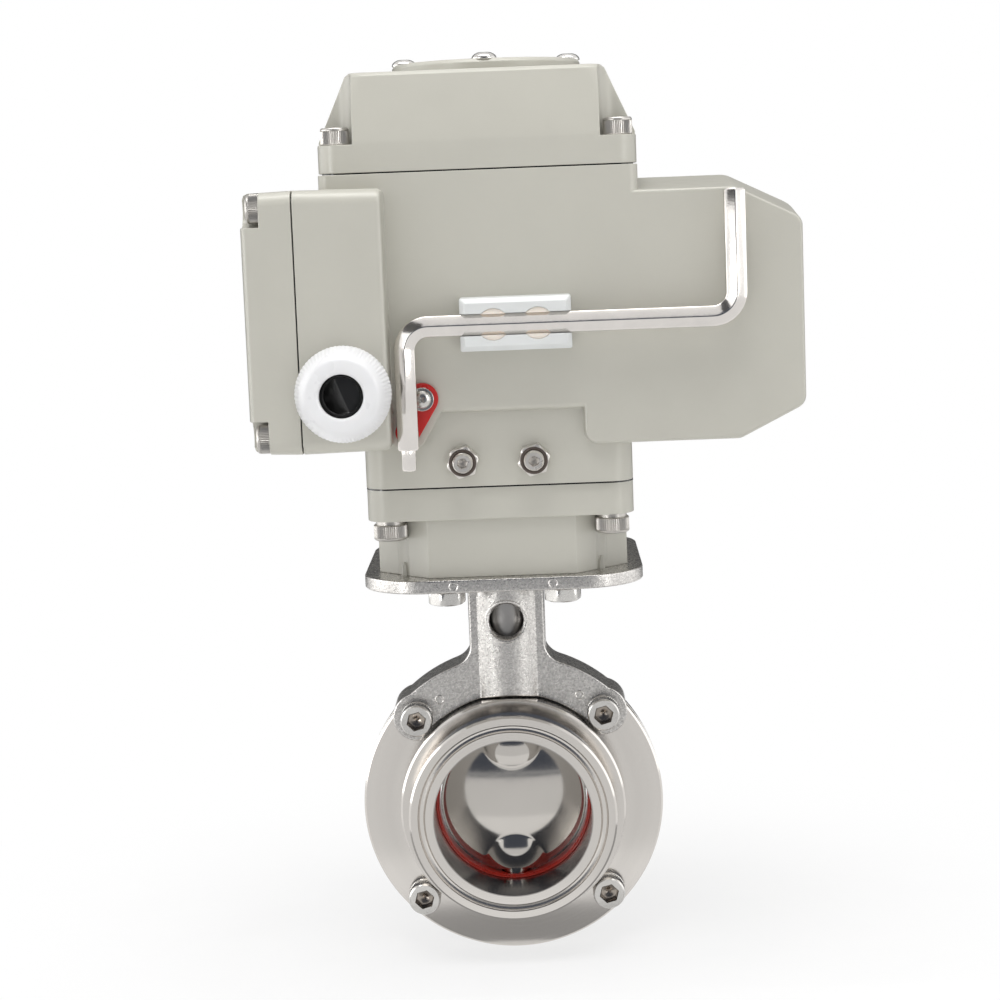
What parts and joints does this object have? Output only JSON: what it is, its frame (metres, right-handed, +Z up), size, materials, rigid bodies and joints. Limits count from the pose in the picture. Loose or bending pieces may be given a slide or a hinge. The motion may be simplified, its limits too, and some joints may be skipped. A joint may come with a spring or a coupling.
{
  "type": "motorized butterfly valve",
  "caption": "Quarter-turn electric actuator on a cast yoke, turning the disc of a clamp-end sanitary butterfly valve through a worm drive.",
  "frame": {"origin": "centre of the valve, where the pipe axis crosses the stem axis", "axes": "+Z up along the stem, -Y out of the inlet ferrule towards the viewer, +X towards the motor"},
  "size_m": [0.1642, 0.116, 0.2784],
  "materials": {
    "housing_paint": "satin, warm grey enamel on die casting",
    "stainless_turned": "turned and polished",
    "stainless_cast": "blasted investment casting",
    "fastener_steel": "plain stainless",
    "shaft_steel": "ground",
    "plate_steel": "zinc plated sheet",
    "bearing_bronze": "machined bronze",
    "seat_silicone": "soft matte",
    "seal_rubber": "matte black",
    "bush_plastic": "natural acetal",
    "clip_plastic": "moulded pale grey",
    "gland_nylon": "moulded white nylon",
    "flap_red": "moulded red",
    "window_clear": "clear",
    "indicator_orange": "moulded orange",
    "motor_case": "dark grey",
    "switch_black": "moulded black",
    "terminal_green": "moulded green",
    "capacitor_film": "sleeved can"
  },
  "bodies": {
    "frame": {"valve_body_front": "stainless_turned", "valve_body_rear": "stainless_turned", "valve_seat": "seat_silicone", "stem_bush": "bush_plastic", "body_bolts": "fastener_steel", "body_nuts": "fastener_steel", "yoke": "stainless_cast", "yoke_bolts": "fastener_steel", "base_housing": "housing_paint", "base_screws": "fastener_steel", "shaft_bush": "bearing_bronze", "main_housing": "housing_paint", "top_cover": "housing_paint", "cover_gasket": "seal_rubber", "cover_screws": "fastener_steel", "sight_window": "window_clear", "window_bezel": "housing_paint", "window_screws": "fastener_steel", "terminal_cover": "housing_paint", "terminal_gasket": "seal_rubber", "terminal_screws": "fastener_steel", "terminal_block": "terminal_green", "gland_body": "gland_nylon", "gland_nut": "gland_nylon", "gland_seal": "seal_rubber", "worm_front_bush": "bearing_bronze", "worm_rear_bush": "bearing_bronze", "idler_pins": "shaft_steel", "train_plate": "plate_steel", "train_screws": "fastener_steel", "gearmotor": "motor_case", "motor_screws": "fastener_steel", "bearing_shelf": "plate_steel", "shelf_screws": "fastener_steel", "limit_switches": "switch_black", "switch_bracket": "plate_steel", "run_capacitor": "capacitor_film", "stop_bolts": "fastener_steel", "stop_nuts": "fastener_steel", "tool_clip": "clip_plastic", "flap_screw": "fastener_steel"},
    "output": {"valve_disc": "stainless_turned", "valve_stem": "shaft_steel", "drive_coupling": "shaft_steel", "output_shaft": "shaft_steel", "stop_cam": "shaft_steel", "worm_wheel": "bearing_bronze", "shaft_circlip": "fastener_steel", "limit_cams": "switch_black", "position_indicator": "indicator_orange"},
    "worm": {"worm_shaft": "shaft_steel", "worm_gear": "bearing_bronze"},
    "idler_1": {"idler_gear_1": "bush_plastic"},
    "idler_2": {"idler_gear_2": "bush_plastic"},
    "pinion": {"motor_pinion": "shaft_steel"},
    "crank": {"crank_key": "fastener_steel"},
    "flap": {"manual_flap": "flap_red"}
  },
  "joints": [
    {"name": "output_turn", "type": "hinge", "parent": "frame", "child": "output", "pos_m": [0, 0, 0], "axis": [0, 0, 1], "range_deg": [0, 90]},
    {"name": "worm_spin", "type": "hinge", "parent": "frame", "child": "worm", "pos_m": [-0.026, 0, 0.122], "axis": [0, 1, 0], "range_deg": [0, 2700]},
    {"name": "idler_1_spin", "type": "hinge", "parent": "frame", "child": "idler_1", "pos_m": [-0.00522, 0.0325, 0.134], "axis": [0, 1, 0], "range_deg": [-1350, 0]},
    {"name": "idler_2_spin", "type": "hinge", "parent": "frame", "child": "idler_2", "pos_m": [0.02666, 0.0325, 0.13679], "axis": [0, 1, 0], "range_deg": [0, 1350]},
    {"name": "pinion_spin", "type": "hinge", "parent": "frame", "child": "pinion", "pos_m": [0.0483, 0.0325, 0.14259], "axis": [0, 1, 0], "range_deg": [-3375, 0]},
    {"name": "crank_pull", "type": "slide", "parent": "frame", "child": "crank", "axis": [0, -1, 0], "range_m": [0, 0.06]},
    {"name": "flap_swing", "type": "hinge", "parent": "frame", "child": "flap", "pos_m": [-0.0214, -0.0449, 0.1316], "axis": [0, -1, 0], "range_deg": [0, 100]}
  ],
  "couplings": [
    {"joint": "worm_spin", "follows": "output_turn", "ratio": 30},
    {"joint": "idler_1_spin", "follows": "output_turn", "ratio": -15},
    {"joint": "idler_2_spin", "follows": "output_turn", "ratio": 15},
    {"joint": "pinion_spin", "follows": "output_turn", "ratio": -37.5}
  ]
}
